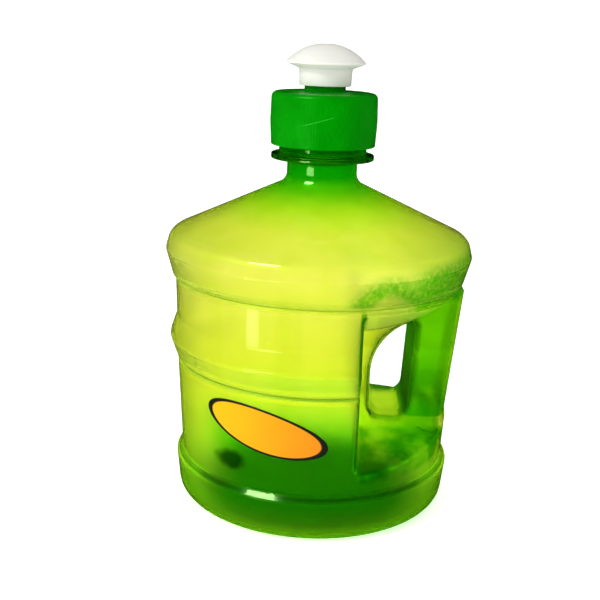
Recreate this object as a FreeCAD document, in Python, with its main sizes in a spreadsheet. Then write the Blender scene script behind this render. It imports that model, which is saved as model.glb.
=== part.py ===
import FreeCAD, Part
import math
import os
import re

import Sketcher

# One-litre water jug: a blown see-through bottle with a pinched side handle, a screw cap
# with a push-pull spout, the cap's sealing washer and an oval sticker.
# Millimetres. The Z axis is the bottle's axis, Z = 0 is the face it stands on, and the
# handle points along +X. The cap is screwed home and the spout is drawn part-way open.

doc = FreeCAD.newDocument("water_jug")

# ---------------------------------------------------------------- driving dimensions
sizes = {
    # blown wall
    "wall": 1.1,                 # body wall
    "neck_wall": 1.5,            # wall of the neck's waist
    "finish_wall": 2.2,          # wall of the threaded mouth
    # foot and base
    "base_rise": 3.0,            # how far the base is pushed up at its centre
    "stand_inner": 43.0,         # inner edge of the ring it stands on
    "base_corner": 55.4,         # outer corner of the base before rounding
    "base_round": 6.5,
    "foot_radius": 57.2,
    "foot_height": 17.2,
    "foot_step": 2.2,            # height of the step from the foot up to the wall
    "foot_round": 1.2,
    # lower wall, a slight taper
    "lower_wall_foot": 54.8,
    "lower_wall_head": 56.9,
    "lower_wall_rise": 39.2,
    # the fine creases
    "crease_depth": 0.7,
    "crease_width": 1.5,
    "crease_flank": 2.2,         # how far the inside of a crease spreads
    # middle roll
    "roll_start": 57.3,
    "roll_radius": 60.2,
    "roll_rise": 8.1,
    "roll_fall": 8.3,
    "roll_round": 4.0,
    # upper wall
    "upper_wall_inset": 4.0,     # from the band's edge in to the wall's head
    "upper_wall_taper": 0.5,
    "upper_wall_rise": 16.0,
    # upper band
    "band_radius": 61.9,
    "band_swell": 2.7,           # how far its edge stands out from its foot
    "band_rise": 9.8,
    "band_round": 1.6,
    # shoulder
    "shoulder_inset": 1.6,       # from the band's edge in to the shoulder's corner
    "shoulder_rise": 6.3,        # and up to it
    "shoulder_round": 5.0,
    "shoulder_slope": 21.6,      # height of the sloping part
    # neck and mouth
    "neck_radius": 14.0,
    "neck_round": 4.5,
    "neck_rise": 7.6,
    "ring_radius": 20.5,
    "ring_flare": 1.0,           # height of the ring's conical underside
    "ring_edge": 1.9,
    "ring_top_fall": 0.6,
    "finish_radius": 17.4,
    "finish_rise": 20.45,
    # handle recess, the same on both faces
    "recess_side": 17.5,         # plane where the recess starts
    "grip_depth": 39.0,          # front face to back face of the handle
    "recess_sill": 15.6,         # from the foot of the lower wall up to the panel
    "recess_ramp": 12.0,         # fall of the recess floor away from the panel, degrees
    "roof_drop": 1.5,            # from the upper crease down to the roof's outer edge
    "roof_reach": 1.1,           # the roof's outer edge stands past the upper wall
    "roof_knee": 43.0,
    "roof_fall": 12.0,
    "roof_heel": 6.0,            # further fall from the knee to the bottle's axis
    "grip_nose": 53.4,           # bar's outer face at the panel's foot
    "grip_lean": 5.2,            # lean of the outer face, degrees
    "grip_round": 7.5,
    # finger hole
    "hole_margin": 5.2,          # from the recess side to the hole
    "hole_sill": 3.2,
    "hole_head": 0.8,
    "bar_width": 16.0,
    "hole_lean": 2.7,            # lean of the bar's inner face, degrees
    "hole_arch": 22.3,
    "hole_round": 5.0,
    "hole_top_round": 2.0,
    # screw cap
    "cap_gap": 3.4,              # from the neck ring up to the cap's edge
    "thread_room": 1.8,          # from the mouth's wall out to the cap's bore
    "cap_edge_wall": 1.5,
    "cap_belly_wall": 2.0,
    "cap_belly_rise": 9.5,
    "cap_shoulder_wall": 1.7,
    "cap_round": 2.2,
    "deck_thickness": 1.75,
    "deck_rise": 0.9,            # dishing of the deck up to the boss
    "boss_radius": 8.1,
    "boss_bore": 6.2,
    "boss_rise": 6.9,
    "catch_radius": 8.9,         # rim on the boss that keeps the spout on
    "catch_height": 1.5,
    "boss_web": 1.3,
    "post_radius": 2.4,
    "post_rise": 7.0,
    "port_radius": 1.2,
    "port_circle": 4.3,
    # sealing washer
    "seal_thickness": 1.0,
    "seal_bore": 11.5,
    "seal_clearance": 0.05,
    "seal_side_clearance": 0.3,
    # push-pull spout
    "spout_lift": 1.7,           # deck to skirt, as it stands
    "spout_fit": 0.08,           # radial clearance on the boss and the post
    "skirt_foot": 10.2,
    "skirt_head": 10.5,
    "skirt_rise": 6.5,
    "lip_height": 1.6,
    "chamber_rise": 8.4,
    "chamber_top": 4.0,
    "chamber_slope": 4.0,
    "throat_rise": 1.6,
    "dome_radius": 15.5,
    "dome_under": 1.9,           # rise of the conical underside
    "dome_edge": 0.8,
    "dome_crown": 6.9,
    "dome_round": 0.3,
    # sticker
    "label_thickness": 0.2,
    "label_gap": 0.02,
    "label_length": 50.0,
    "label_height": 17.6,
    "label_centre": 24.9,        # height above the foot of the lower wall
    "label_tilt": 12.3,          # degrees
    "label_turn": 19.4,          # degrees from the front towards the left
}
port_count = 6

sheet = doc.addObject("Spreadsheet::Sheet", "Sizes")
for row, (alias, number) in enumerate(sizes.items(), start=1):
    sheet.set("A%d" % row, alias)
    sheet.set("B%d" % row, str(number))
    sheet.setAlias("B%d" % row, alias)
doc.recompute()


# ---------------------------------------------------------------- helpers
def bound(text):
    """The expression with every sheet name given in full."""
    def full(word):
        return "Sizes." + word.group(0) if word.group(0) in sizes else word.group(0)
    return re.sub(r"[a-z]+(?:_[a-z]+)*", full, text)


def measure(text):
    """The number that an expression stands for now."""
    return float(sheet.evalExpression(bound(text)))


def plus(*terms):
    return " + ".join("(%s)" % term for term in terms)


def less(first, *terms):
    return "(%s)" % first + "".join(" - (%s)" % term for term in terms)


def sketch_on(body, plane, name):
    sketch = body.newObject("Sketcher::SketchObject", name)
    origin_plane = [f for f in body.Origin.OriginFeatures if f.Role == plane][0]
    sketch.AttachmentSupport = [(origin_plane, "")]
    sketch.MapMode = "FlatFace"
    return sketch


def pin_point(sketch, geometry, end, across, up):
    """Holds a point of the sketch at two expressions."""
    for kind, text in (("DistanceX", across), ("DistanceY", up)):
        number = measure(text)
        if text == "0":
            axis = -2 if kind == "DistanceX" else -1
            sketch.addConstraint(Sketcher.Constraint("PointOnObject", geometry, end, axis))
        else:
            index = sketch.addConstraint(Sketcher.Constraint(kind, geometry, end, number))
            sketch.setExpression("Constraints[%d]" % index, bound(text))


def draw_outline(sketch, corners, arcs=None):
    """A closed outline through the corners. arcs gives edges that are arcs: the edge's
    number, its radius and whether its centre lies to the left of the way it is drawn."""
    arcs = arcs or {}
    points = [FreeCAD.Vector(measure(x), measure(y), 0) for x, y in corners]
    ends = []
    for i, start in enumerate(points):
        stop = points[(i + 1) % len(points)]
        if i in arcs:
            radius_text, centre_left = arcs[i]
            radius = measure(radius_text)
            chord = stop - start
            side = FreeCAD.Vector(-chord.y, chord.x, 0).normalize()
            reach = math.sqrt(radius ** 2 - chord.Length ** 2 / 4)
            centre = (start + stop) / 2 + side * (reach if centre_left else -reach)
            first, last = (start, stop) if centre_left else (stop, start)
            angles = [math.atan2(p.y - centre.y, p.x - centre.x) for p in (first, last)]
            circle = Part.Circle(centre, FreeCAD.Vector(0, 0, 1), radius)
            index = sketch.addGeometry(Part.ArcOfCircle(circle, angles[0], angles[1]))
            ends.append((index, 1, 2) if centre_left else (index, 2, 1))
        else:
            index = sketch.addGeometry(Part.LineSegment(start, stop))
            ends.append((index, 1, 2))
    for i, (index, _, tail) in enumerate(ends):
        following, head, _ = ends[(i + 1) % len(ends)]
        sketch.addConstraint(Sketcher.Constraint("Coincident", index, tail, following, head))
    for (index, head, _), (across, up) in zip(ends, corners):
        pin_point(sketch, index, head, across, up)
    for i, (radius_text, _) in arcs.items():
        radius = measure(radius_text)
        held = sketch.addConstraint(Sketcher.Constraint("Radius", ends[i][0], radius))
        sketch.setExpression("Constraints[%d]" % held, bound(radius_text))


def turned_body(name, corners, arcs=None):
    """A body turned about the Z axis from an outline in radius and height."""
    body = doc.addObject("PartDesign::Body", name)
    sketch = sketch_on(body, "XZ_Plane", name + "Profile")
    draw_outline(sketch, corners, arcs)
    turning = body.newObject("PartDesign::Revolution", name + "Turned")
    turning.Profile = sketch
    turning.ReferenceAxis = (sketch, ["V_Axis"])
    turning.Angle = 360
    sketch.Visibility = False
    doc.recompute()
    return body


def padded_body(name, plane, corners, length, both_ways, arcs=None):
    body = doc.addObject("PartDesign::Body", name)
    sketch = sketch_on(body, plane, name + "Profile")
    draw_outline(sketch, corners, arcs)
    pad = body.newObject("PartDesign::Pad", name + "Pad")
    pad.Profile = sketch
    pad.setExpression("Length", bound(length))
    pad.Midplane = both_ways
    doc.recompute()
    return body


def round_edges(body, name, edges, radius):
    if not edges:
        raise RuntimeError("no edge to round for " + name)
    base = body.Tip
    fillet = body.newObject("PartDesign::Fillet", name)
    fillet.Base = (base, edges)
    fillet.setExpression("Radius", bound(radius))
    body.Tip = fillet
    doc.recompute()


def ring_edges(body, radius, height):
    """The circular edges about Z at a radius and a height."""
    found = []
    for number, edge in enumerate(body.Tip.Shape.Edges, start=1):
        if isinstance(edge.Curve, Part.Circle):
            same_radius = abs(edge.Curve.Radius - measure(radius)) < 0.001
            same_height = abs(edge.Curve.Center.z - measure(height)) < 0.001
            if same_radius and same_height:
                found.append("Edge%d" % number)
    return found


def edges_across(body, x, z):
    """The straight edges along Y that pass through a place in X and Z."""
    found = []
    for number, edge in enumerate(body.Tip.Shape.Edges, start=1):
        ends = [vertex.Point for vertex in edge.Vertexes]
        along_y = len(ends) == 2 and abs(ends[0].y - ends[1].y) > 1
        if along_y and all(abs(p.x - measure(x)) < 0.01 and abs(p.z - measure(z)) < 0.01 for p in ends):
            found.append("Edge%d" % number)
    return found


def boolean(kind, name, base, tool):
    result = doc.addObject("Part::" + kind, name)
    result.Base = base
    result.Tool = tool
    doc.recompute()
    return result


# ---------------------------------------------------------------- heights of the bottle
foot_top = "foot_height"
wall_foot = plus(foot_top, "foot_step")
wall_head = plus(wall_foot, "lower_wall_rise")
crease_low = plus(wall_head, "crease_width / 2")
roll_low = plus(wall_head, "crease_width")
roll_peak = plus(roll_low, "roll_rise")
roll_high = plus(roll_peak, "roll_fall")
upper_head = plus(roll_high, "upper_wall_rise")
crease_high = plus(upper_head, "crease_width / 2")
band_low = plus(upper_head, "crease_width")
band_peak = plus(band_low, "band_rise")
shoulder_low = plus(band_peak, "shoulder_rise")
shoulder_high = plus(shoulder_low, "shoulder_slope")
ring_low = plus(shoulder_high, "neck_rise")
ring_under = plus(ring_low, "ring_flare")
ring_over = plus(ring_under, "ring_edge")
ring_high = plus(ring_over, "ring_top_fall")
finish_top = plus(ring_high, "finish_rise")
# radii that follow the upper band
upper_wall_head = "(band_radius - upper_wall_inset)"
upper_wall_foot = "(band_radius - upper_wall_inset - upper_wall_taper)"
band_start = "(band_radius - band_swell)"
shoulder_corner = "band_radius - shoulder_inset"

# ---------------------------------------------------------------- the round bottle
outer = turned_body("OuterForm", [
    ("0", "base_rise"),
    ("stand_inner", "0"),
    ("base_corner", "0"),
    ("foot_radius", foot_top),
    ("lower_wall_foot", wall_foot),
    ("lower_wall_head", wall_head),
    ("lower_wall_head - crease_depth", crease_low),
    ("roll_start", roll_low),
    ("roll_radius", roll_peak),
    (upper_wall_foot, roll_high),
    (upper_wall_head, upper_head),
    (upper_wall_head + " - crease_depth", crease_high),
    (band_start, band_low),
    ("band_radius", band_peak),
    (shoulder_corner, shoulder_low),
    ("neck_radius", shoulder_high),
    ("neck_radius", ring_low),
    ("ring_radius", ring_under),
    ("ring_radius", ring_over),
    ("finish_radius", ring_high),
    ("finish_radius", finish_top),
    ("0", finish_top),
])
round_edges(outer, "BaseRound", ring_edges(outer, "base_corner", "0"), "base_round")
round_edges(outer, "FootRound", ring_edges(outer, "foot_radius", foot_top), "foot_round")
round_edges(outer, "FootCove", ring_edges(outer, "lower_wall_foot", wall_foot), "foot_round")
round_edges(outer, "RollRound", ring_edges(outer, "roll_radius", roll_peak), "roll_round")
round_edges(outer, "RollCove", ring_edges(outer, upper_wall_foot, roll_high), "roll_round")
round_edges(outer, "BandRound", ring_edges(outer, "band_radius", band_peak), "band_round")
round_edges(outer, "ShoulderRound", ring_edges(outer, shoulder_corner, shoulder_low),
            "shoulder_round")
round_edges(outer, "NeckCove", ring_edges(outer, "neck_radius", shoulder_high), "neck_round")

# The inside follows the outside one wall in. Its creases are spread wide.
inner = turned_body("InnerForm", [
    ("0", "base_rise + wall"),
    ("stand_inner", "wall"),
    ("base_corner - wall", "wall"),
    ("foot_radius - wall", less(foot_top, "wall / 2")),
    ("lower_wall_foot - wall", wall_foot),
    ("lower_wall_head - wall", less(wall_head, "crease_flank")),
    ("lower_wall_head - crease_depth - wall", crease_low),
    ("roll_start - wall", plus(roll_low, "crease_flank")),
    ("roll_radius - wall", roll_peak),
    (upper_wall_foot + " - wall", roll_high),
    (upper_wall_head + " - wall", less(upper_head, "crease_flank")),
    (upper_wall_head + " - crease_depth - wall", crease_high),
    (band_start + " - wall", plus(band_low, "crease_flank")),
    ("band_radius - wall", band_peak),
    (shoulder_corner + " - wall", less(shoulder_low, "wall")),
    ("neck_radius - neck_wall", less(shoulder_high, "wall")),
    ("neck_radius - neck_wall", ring_under),
    ("finish_radius - finish_wall", ring_high),
    ("finish_radius - finish_wall", plus(finish_top, "wall")),
    ("0", plus(finish_top, "wall")),
])
round_edges(inner, "InnerBaseRound", ring_edges(inner, "base_corner - wall", "wall"),
            "base_round - wall")
round_edges(inner, "InnerShoulderRound",
            ring_edges(inner, shoulder_corner + " - wall", less(shoulder_low, "wall")),
            "shoulder_round - wall")

# ---------------------------------------------------------------- the pinched handle
panel_foot = plus(wall_foot, "recess_sill")
roof_high = less(crease_high, "roof_drop")
roof_low = less(roof_high, "roof_fall")
far = "2 * band_radius"


def nose_at(height):
    """How far out the handle's outer face is at a height."""
    return "grip_nose + tan(grip_lean) * (%s)" % less(height, panel_foot)


def handle_tools(name, grow):
    """The three solids that shape the handle: the recess, the grip that stands in it and
    the finger hole. For the inside of the bottle the recess and the hole are larger all
    round by grow, and the grip is smaller."""
    half = "grip_depth / 2 - %s" % grow
    floor = less(panel_foot, grow)
    ramp_end = less(floor, "tan(recess_ramp) * (%s)" % less(far, half))
    bay = padded_body(name + "Bay", "YZ_Plane", [
        ("-(%s)" % far, ramp_end),
        ("-(%s)" % half, floor),
        (half, floor),
        (far, ramp_end),
        (far, crease_high),
        ("-(%s)" % far, crease_high),
    ], far, False)
    bay.setExpression("Placement.Base.x", bound("recess_side - %s" % grow))

    roof = turned_body(name + "Roof", [
        ("0", "0"),
        (far, "0"),
        (far, plus(roof_high, grow)),
        (upper_wall_head + " + roof_reach", plus(roof_high, grow)),
        ("roof_knee", plus(roof_low, grow)),
        ("0", less(plus(roof_low, grow), "roof_heel")),
    ])
    recess = boolean("Common", name + "Recess", bay, roof)

    low = less(panel_foot, "base_corner / 2")
    core = padded_body(name + "Core", "XZ_Plane", [
        ("0", low),
        (nose_at(low) + " - (%s)" % grow, low),
        (nose_at(crease_high) + " - (%s)" % grow, crease_high),
        ("0", crease_high),
    ], "grip_depth - 2 * (%s)" % grow, True)
    nose_edges = []
    for number, edge in enumerate(core.Tip.Shape.Edges, start=1):
        ends = [vertex.Point for vertex in edge.Vertexes]
        if abs(ends[0].z - ends[1].z) > 1 and min(p.x for p in ends) > 1:
            nose_edges.append("Edge%d" % number)
    round_edges(core, name + "NoseRound", nose_edges, "grip_round - %s" % grow)
    grip = boolean("Common", name + "Grip", recess, core)

    left = "recess_side + hole_margin - %s" % grow
    sill = less(plus(panel_foot, "hole_sill"), grow)
    head = plus(less(roof_low, "hole_head"), grow)
    arch = "hole_arch + %s" % grow

    def bar_at(height):
        lean = "tan(hole_lean) * (%s)" % less(height, panel_foot)
        return "grip_nose - bar_width + %s + %s" % (grow, lean)

    reach = "(%s) - (%s) - (%s)" % (bar_at(head), left, arch)
    spring = less(head, "sqrt((%s)^2 - (%s)^2)" % (arch, reach))
    hole = padded_body(name + "Hole", "XZ_Plane", [
        (left, sill),
        (bar_at(sill), sill),
        (bar_at(head), head),
        (left, spring),
    ], far, True, arcs={2: (arch, True)})
    corner = "hole_round + %s" % grow
    round_edges(hole, name + "HoleSillRound",
                edges_across(hole, left, sill) + edges_across(hole, bar_at(sill), sill), corner)
    round_edges(hole, name + "HoleTopRound", edges_across(hole, bar_at(head), head),
                "hole_top_round + %s" % grow)
    return recess, grip, hole


def with_handle(name, body, grow):
    recess, grip, hole = handle_tools(name, grow)
    pinched = boolean("Cut", name + "Pinched", body, recess)
    gripped = boolean("Fuse", name + "Gripped", pinched, grip)
    gripped.Refine = True
    return boolean("Cut", name + "Pierced", gripped, hole)


outer_shape = with_handle("Outer", outer, "0 * wall")
cavity = with_handle("Inner", inner, "wall")
bottle = boolean("Cut", "bottle", outer_shape, cavity)

# ---------------------------------------------------------------- sealing washer
seal_low = plus(finish_top, "seal_clearance")
seal_high = plus(seal_low, "seal_thickness")
cap_bore = "(finish_radius + thread_room)"
seal = turned_body("cap_seal", [
    ("seal_bore", seal_low),
    (cap_bore + " - seal_side_clearance", seal_low),
    (cap_bore + " - seal_side_clearance", seal_high),
    ("seal_bore", seal_high),
])

# ---------------------------------------------------------------- screw cap
cap_low = plus(ring_over, "cap_gap")
deck_under = plus(seal_high, "seal_clearance")
deck_edge = plus(deck_under, "deck_thickness")
deck_top = plus(deck_edge, "deck_rise")
boss_top = plus(deck_top, "boss_rise", "catch_height")
cap_shoulder = cap_bore + " + cap_shoulder_wall"
cap = turned_body("screw_cap", [
    ("0", plus(boss_top, "post_rise")),
    ("post_radius", plus(boss_top, "post_rise")),
    ("post_radius", boss_top),
    ("catch_radius", boss_top),
    ("catch_radius", less(boss_top, "catch_height")),
    ("boss_radius", less(boss_top, "catch_height")),
    ("boss_radius", deck_top),
    (cap_shoulder, deck_edge),
    (cap_bore + " + cap_belly_wall", plus(cap_low, "cap_belly_rise")),
    (cap_bore + " + cap_edge_wall", cap_low),
    (cap_bore, cap_low),
    (cap_bore, deck_under),
    ("boss_bore", deck_under),
    ("boss_bore", less(boss_top, "boss_web")),
    ("0", less(boss_top, "boss_web")),
])
round_edges(cap, "CapRound", ring_edges(cap, cap_shoulder, deck_edge), "cap_round")

# Ports through the web at the boss's head, around the post.
port_sketch = sketch_on(cap, "XY_Plane", "PortProfile")
port_sketch.addGeometry(Part.Circle(FreeCAD.Vector(measure("port_circle"), 0, 0),
                                    FreeCAD.Vector(0, 0, 1), measure("port_radius")))
pin_point(port_sketch, 0, 3, "port_circle", "0")
port_held = port_sketch.addConstraint(Sketcher.Constraint("Radius", 0, measure("port_radius")))
port_sketch.setExpression("Constraints[%d]" % port_held, bound("port_radius"))
port_sketch.setExpression("AttachmentOffset.Base.z", bound(plus(boss_top, "wall")))
port = cap.newObject("PartDesign::Pocket", "Port")
port.Profile = port_sketch
port.setExpression("Length", bound("wall + boss_web + wall"))
doc.recompute()
ports = cap.newObject("PartDesign::PolarPattern", "Ports")
ports.Originals = [port]
ports.Axis = (port_sketch, ["N_Axis"])
ports.Angle = 360
ports.Occurrences = port_count
cap.Tip = ports
doc.recompute()

# ---------------------------------------------------------------- push-pull spout
skirt_low = plus(deck_top, "spout_lift")
skirt_high = plus(skirt_low, "skirt_rise")
dome_low = plus(skirt_high, "dome_under")
dome_rim = plus(dome_low, "dome_edge")
dome_top = plus(dome_rim, "dome_crown")
crown = "(dome_radius^2 + dome_crown^2) / (2 * dome_crown)"
throat = "post_radius + spout_fit"
lip_top = plus(skirt_low, "lip_height")
chamber_head = plus(skirt_low, "chamber_rise")
throat_low = plus(chamber_head, "chamber_slope", "throat_rise")
throat_high = less(dome_top, "%s - sqrt((%s)^2 - (%s)^2)" % (crown, crown, throat))
spout = turned_body("spout", [
    (throat, throat_low),
    ("chamber_top", plus(chamber_head, "chamber_slope")),
    ("catch_radius + spout_fit", chamber_head),
    ("catch_radius + spout_fit", lip_top),
    ("boss_radius + spout_fit", lip_top),
    ("boss_radius + spout_fit", skirt_low),
    ("skirt_foot", skirt_low),
    ("skirt_head", skirt_high),
    ("dome_radius", dome_low),
    ("dome_radius", dome_rim),
    (throat, throat_high),
], arcs={9: (crown, True)})
round_edges(spout, "DomeRound", ring_edges(spout, "dome_radius", dome_low), "dome_round")

# ---------------------------------------------------------------- sticker
label_sheet = turned_body("LabelSheet", [
    ("lower_wall_foot + label_gap", wall_foot),
    ("lower_wall_foot + label_gap + label_thickness", wall_foot),
    ("lower_wall_head + label_gap + label_thickness", wall_head),
    ("lower_wall_head + label_gap", wall_head),
])
label_edge = doc.addObject("Part::Ellipse", "LabelEdge")
label_edge.setExpression("MajorRadius", bound("label_length / 2"))
label_edge.setExpression("MinorRadius", bound("label_height / 2"))
face_front = FreeCAD.Rotation(FreeCAD.Vector(1, 0, 0), 90)
fall_right = FreeCAD.Rotation(FreeCAD.Vector(0, 0, 1), -measure("label_tilt"))
label_edge.Placement = FreeCAD.Placement(FreeCAD.Vector(0, 0, 0), face_front * fall_right)
label_edge.setExpression("Placement.Base.z", bound(plus(wall_foot, "label_centre")))
label_plan = doc.addObject("Part::Extrusion", "LabelPlan")
label_plan.Base = label_edge
label_plan.DirMode = "Custom"
label_plan.Dir = FreeCAD.Vector(0, -1, 0)
label_plan.setExpression("LengthFwd", bound("band_radius"))
label_plan.Solid = True
doc.recompute()
label = boolean("Common", "label", label_sheet, label_plan)
label.Placement = FreeCAD.Placement(FreeCAD.Vector(0, 0, 0), FreeCAD.Vector(0, 0, 1),
                                    -measure("label_turn"))
doc.recompute()

# ---------------------------------------------------------------- check and write
nodes = {"bottle": bottle, "cap_seal": seal, "screw_cap": cap, "spout": spout, "label": label}
for node_name, node in nodes.items():
    node.Label = node_name

for item in doc.Objects:
    if "Invalid" in item.State or "Error" in item.State:
        raise RuntimeError("%s failed: %s" % (item.Name, item.State))
for node_name, node in nodes.items():
    shape = node.Shape
    if shape.isNull() or not shape.isValid() or len(shape.Solids) != 1:
        raise RuntimeError("%s isn't one valid solid" % node_name)

os.makedirs("parts", exist_ok=True)
for node_name, node in nodes.items():
    node.Shape.exportStep("parts/%s.step" % node_name)
    box = node.Shape.BoundBox
    print("%-10s volume %9.1f  x %.1f %.1f  y %.1f %.1f  z %.1f %.1f" % (
        node_name, node.Shape.Volume, box.XMin, box.XMax, box.YMin, box.YMax, box.ZMin, box.ZMax))
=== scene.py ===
import math

import bmesh
import bpy
import numpy as np
from mathutils import Matrix, Vector


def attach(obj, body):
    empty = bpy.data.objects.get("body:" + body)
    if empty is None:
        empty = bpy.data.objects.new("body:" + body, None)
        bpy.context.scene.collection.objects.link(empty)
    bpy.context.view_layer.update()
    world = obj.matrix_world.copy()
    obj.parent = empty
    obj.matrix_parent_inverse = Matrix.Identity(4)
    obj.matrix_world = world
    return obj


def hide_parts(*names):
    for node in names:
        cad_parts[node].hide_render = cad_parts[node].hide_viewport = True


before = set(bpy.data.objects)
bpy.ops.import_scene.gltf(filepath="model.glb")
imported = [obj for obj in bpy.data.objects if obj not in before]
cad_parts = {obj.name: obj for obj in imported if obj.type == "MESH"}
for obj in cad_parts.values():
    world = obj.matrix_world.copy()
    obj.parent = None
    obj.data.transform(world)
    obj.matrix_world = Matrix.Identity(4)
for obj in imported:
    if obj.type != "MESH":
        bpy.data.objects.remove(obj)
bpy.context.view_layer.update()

scene = bpy.context.scene
mm = 0.001
bendStep = 14  # degrees of a rounding for each of its edges


def addPiece(name, bm, material, body=None, replaced=()):
    mesh = bpy.data.meshes.new(name)
    bm.to_mesh(mesh)
    bm.free()
    mesh.shade_smooth()
    piece = bpy.data.objects.new(name, mesh)
    scene.collection.objects.link(piece)
    mesh.materials.append(material)
    if body:
        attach(piece, body)
    if replaced:
        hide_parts(*replaced)
    return piece


def joinPoints(bm, points):
    for pair in zip(points, points[1:]):
        bm.edges.new(pair)


# corners are (radius, height, rounding) in mm, drawn in the XZ plane and rounded with bevel
def drawSection(bm, corners):
    points = [bm.verts.new((r * mm, 0, z * mm)) for r, z, _ in corners]
    joinPoints(bm, points)
    for i, (r, z, rounding) in enumerate(corners):
        if not rounding:
            continue
        before = Vector((corners[i - 1][0] - r, corners[i - 1][1] - z)).normalized()
        after = Vector((corners[i + 1][0] - r, corners[i + 1][1] - z)).normalized()
        turn = math.pi - before.angle(after)
        bmesh.ops.bevel(bm, geom=[points[i]], offset=rounding * mm * math.tan(turn / 2), offset_type="OFFSET",
                        segments=max(2, round(math.degrees(turn) / bendStep)), profile=0.5, affect="VERTICES",
                        material=-1, clamp_overlap=False)


# the values in each span of (from, before, step)
def spread(spans):
    return [value for low, high, step in spans for value in np.arange(low, high, step)]


# adds a row of points at each height, in mm, on the edges that pass the test
def cutRows(bm, heights, test):
    for height in heights:
        geom = [e for e in bm.edges if test(e)]
        verts = list({v for e in geom for v in e.verts})
        bmesh.ops.bisect_plane(bm, geom=verts + geom, dist=1e-6, plane_co=(0, 0, height * mm),
                               plane_no=(0, 0, 1))


# adds points on the drawn section where it crosses a radius, in mm
def cutRings(bm, radii):
    for radius in radii:
        bmesh.ops.bisect_plane(bm, geom=bm.verts[:] + bm.edges[:], dist=1e-6, plane_co=(radius * mm, 0, 0),
                               plane_no=(1, 0, 0))


# turns the section around Z through sectors of (degrees, steps) and closes the seam and poles
def spinAround(bm, sectors, start=0.0):
    turned = Matrix.Rotation(math.radians(start), 3, "Z")
    bmesh.ops.rotate(bm, verts=bm.verts[:], cent=(0, 0, 0), matrix=turned)
    geom = bm.verts[:] + bm.edges[:]
    for degrees, steps in sectors:
        spun = bmesh.ops.spin(bm, geom=geom, cent=(0, 0, 0), axis=(0, 0, 1), dvec=(0, 0, 0),
                              angle=math.radians(degrees), steps=steps, use_merge=False, use_duplicate=False)
        geom = spun["geom_last"]
    bmesh.ops.remove_doubles(bm, verts=bm.verts[:], dist=2e-6)
    bmesh.ops.recalc_face_normals(bm, faces=bm.faces[:])


# the thread's ridge: how flat its crest and how steep its flanks are, and the turn that each end fades over
threadForm = {"flat": 1.6, "flank": 1.1, "runOut": 0.12}


# how far a thread stands out, in mm, at an angle in turns and a height in mm
def threadLift(angle, height, t):
    rise = (height - t["low"]) / t["pitch"] - angle - t["start"]
    turn = np.round(rise)
    along = turn + t["start"] + angle
    off = np.abs(rise - turn) * t["pitch"] / (t["width"] / 2)
    ridge = np.clip(threadForm["flat"] - off * threadForm["flank"], 0, 1)
    fadeIn = np.clip((along - t["start"]) / threadForm["runOut"], 0, 1)
    fadeOut = np.clip((t["end"] - along) / threadForm["runOut"], 0, 1)
    return t["crest"] * ridge * ridge * (3 - 2 * ridge) * (fadeIn * fadeOut)


# camera, at the side with the sticker
cameraSet = {"place": (0.0, -0.402, 0.19096), "down": 15.25, "left": 0.99, "roll": 2.0, "lens": 60.36,
             "sensor": 36, "nearest": 0.01}


def makeCamera(c):
    down, left, roll = (math.radians(c[k]) for k in ("down", "left", "roll"))
    ahead = Vector((-math.sin(left) * math.cos(down), math.cos(left) * math.cos(down), -math.sin(down)))
    right = ahead.cross(Vector((0, 0, 1))).normalized()
    up = right.cross(ahead)
    turned = right * math.cos(roll) + up * math.sin(roll)
    raised = up * math.cos(roll) - right * math.sin(roll)
    data = bpy.data.cameras.new("viewCamera")
    data.lens = c["lens"]
    data.sensor_width = c["sensor"]
    data.clip_start = c["nearest"]
    camera = bpy.data.objects.new("viewCamera", data)
    scene.collection.objects.link(camera)
    place = Matrix((turned, raised, -ahead)).transposed().to_4x4()
    place.translation = Vector(c["place"])
    camera.matrix_world = place
    scene.camera = camera


makeCamera(cameraSet)
print("camera placed")


# materials
def newMaterial(name):
    material = bpy.data.materials.new(name)
    material.use_nodes = True
    material.node_tree.nodes.clear()
    return material, material.node_tree.nodes


# an input given as another node's output is linked to it
def addNode(nodes, kind, inputs=None, **settings):
    node = nodes.new(kind)
    for key, value in settings.items():
        setattr(node, key, value)
    for key, value in (inputs or {}).items():
        if isinstance(value, bpy.types.NodeSocket):
            node.id_data.links.new(value, node.inputs[key])
        else:
            node.inputs[key].default_value = value
    return node


def addRamp(nodes, value, stops):
    node = addNode(nodes, "ShaderNodeValToRGB", {0: value})
    ramp = node.color_ramp
    ramp.interpolation = "LINEAR"
    while len(ramp.elements) > 1:
        ramp.elements.remove(ramp.elements[-1])
    ramp.elements[0].position, ramp.elements[0].color = stops[0]
    for position, color in stops[1:]:
        ramp.elements.new(position).color = color
    return node.outputs["Color"]


# from nothing at low to 1 at high, in a straight line
def level(nodes, value, low, high):
    ends = {"From Min": low, "From Max": high}
    return addNode(nodes, "ShaderNodeMapRange", {"Value": value, **ends}).outputs[0]


def addNoise(nodes, place, scale, detail, roughness=0.5):
    return addNode(nodes, "ShaderNodeTexNoise", {"Vector": place, "Scale": scale, "Detail": detail,
                                                 "Roughness": roughness}).outputs["Fac"]


def calculate(nodes, operation, *values):
    return addNode(nodes, "ShaderNodeMath", dict(enumerate(values)), operation=operation).outputs[0]


# distance from a middle as a share of the half size; an axis whose half size is 0 isn't counted
def farFrom(nodes, place, middle, half):
    scale = [1 / size if size else 0 for size in half]
    moved = addNode(nodes, "ShaderNodeMapping", {"Vector": place, "Scale": scale,
                                                 "Location": [-m * s for m, s in zip(middle, scale)]})
    return addNode(nodes, "ShaderNodeVectorMath", {0: moved.outputs[0]}, operation="LENGTH").outputs["Value"]


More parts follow.
